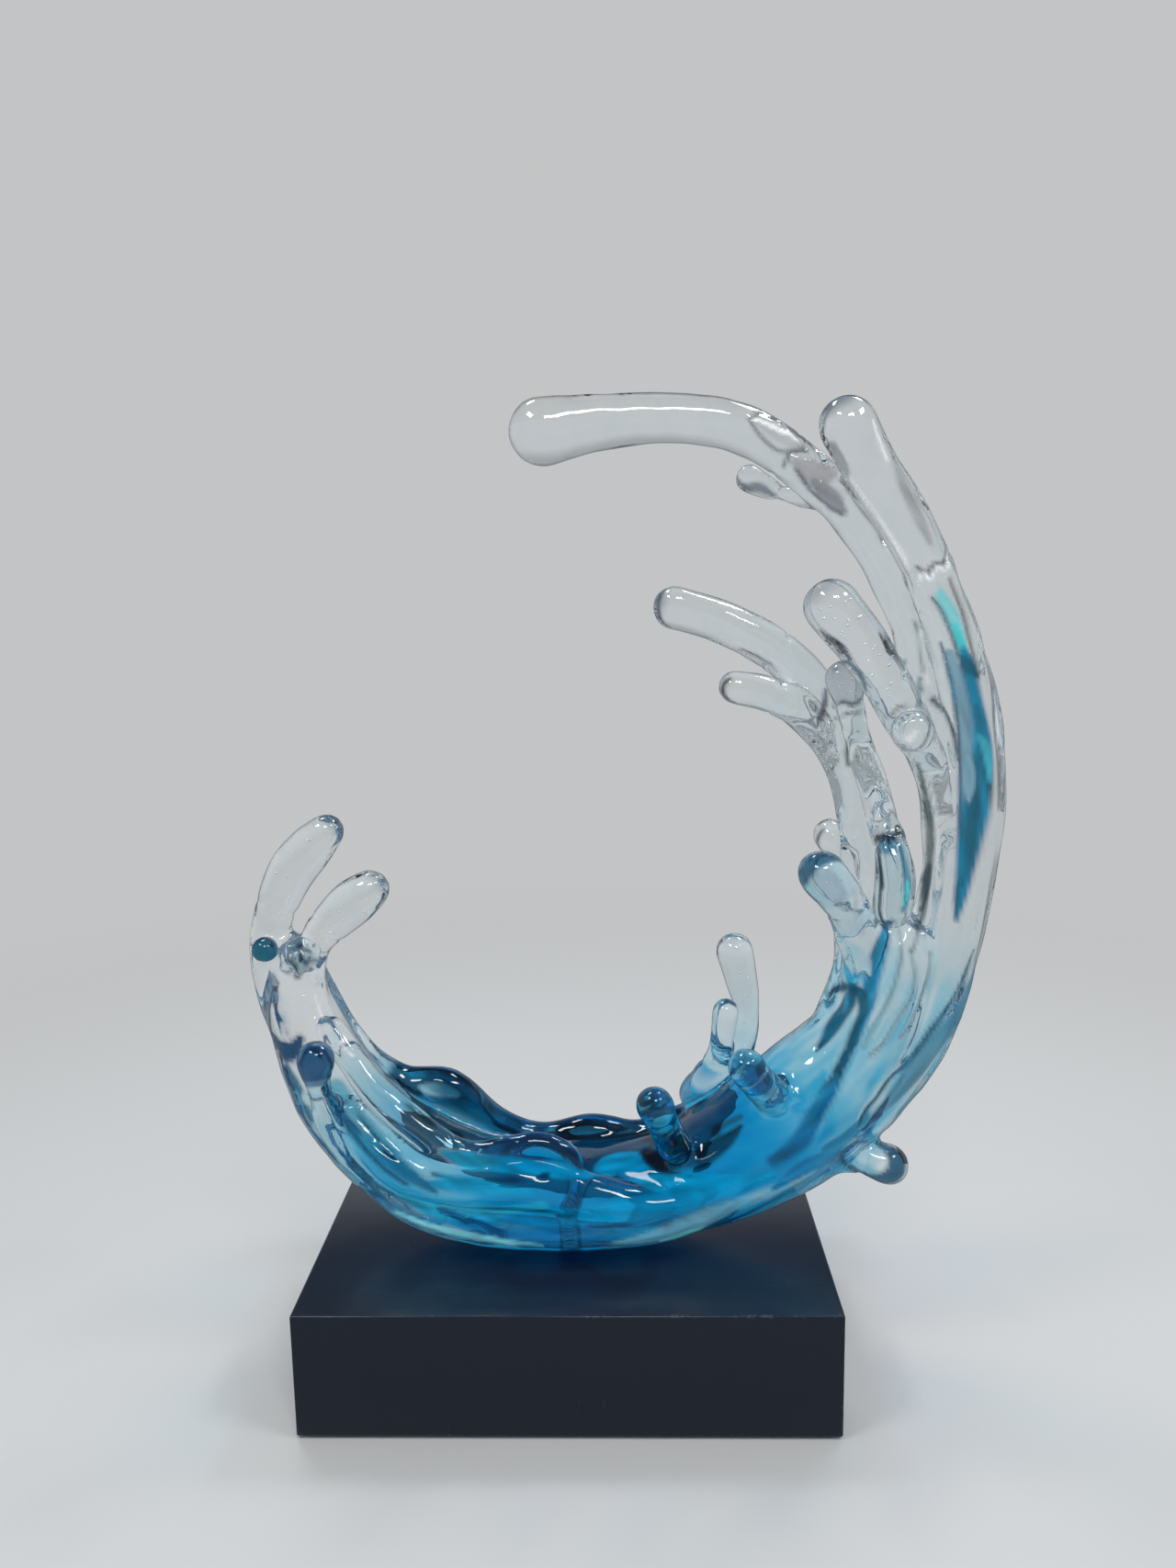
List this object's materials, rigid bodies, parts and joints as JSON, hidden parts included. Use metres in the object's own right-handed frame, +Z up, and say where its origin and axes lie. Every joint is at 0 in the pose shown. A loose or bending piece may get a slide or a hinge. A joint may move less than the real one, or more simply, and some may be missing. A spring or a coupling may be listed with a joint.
{
  "type": "resin wave sculpture",
  "caption": "Clear and blue cast resin wave curling into splash fingers, rod-mounted on a dark lacquered rectangular base, for display on a desk or shelf.",
  "frame": {"origin": "middle of the felt's lower face, on the surface that the sculpture stands on", "axes": "+Z up, +X to the viewer's right, towards the tall side of the wave, and -Y towards the viewer"},
  "size_m": [0.4383, 0.17, 0.5675],
  "materials": {
    "blue_resin": "polished clear blue cast resin, fading to clear at the top",
    "clear_resin": "polished water-clear cast resin",
    "tinted_resin": "polished blue cast resin",
    "dark_lacquer": "semi-gloss blue-black lacquer on fibreboard",
    "fibreboard": "bare fibreboard",
    "black_felt": "felt",
    "zinc_steel": "zinc plated"
  },
  "bodies": {
    "root": {"wave_body": "blue_resin", "top_arm": "clear_resin", "arm_drop": "clear_resin", "outer_finger": "clear_resin", "middle_finger": "clear_resin", "middle_drop": "clear_resin", "inner_upper_finger": "clear_resin", "inner_lower_finger": "clear_resin", "ball_tip": "clear_resin", "hanging_drop": "clear_resin", "small_tip": "clear_resin", "blue_tip": "tinted_resin", "tall_sprig": "clear_resin", "short_sprig": "clear_resin", "front_bud_left": "tinted_resin", "front_bud_right": "tinted_resin", "horn": "clear_resin", "left_outer_finger": "clear_resin", "left_inner_finger": "clear_resin", "left_facing_bud": "clear_resin", "left_bead": "tinted_resin", "left_low_bud": "tinted_resin", "base_top_panel": "dark_lacquer", "base_front_panel": "dark_lacquer", "base_back_panel": "dark_lacquer", "base_left_panel": "dark_lacquer", "base_right_panel": "dark_lacquer", "bottom_plate": "fibreboard", "corner_block_front_left": "fibreboard", "corner_block_front_right": "fibreboard", "corner_block_back_left": "fibreboard", "corner_block_back_right": "fibreboard", "bottom_screw_front_left": "zinc_steel", "bottom_screw_front_right": "zinc_steel", "bottom_screw_back_left": "zinc_steel", "bottom_screw_back_right": "zinc_steel", "felt_sheet": "black_felt", "threaded_rod": "zinc_steel", "washer": "zinc_steel", "hex_nut": "zinc_steel"}
  },
  "joints": []
}
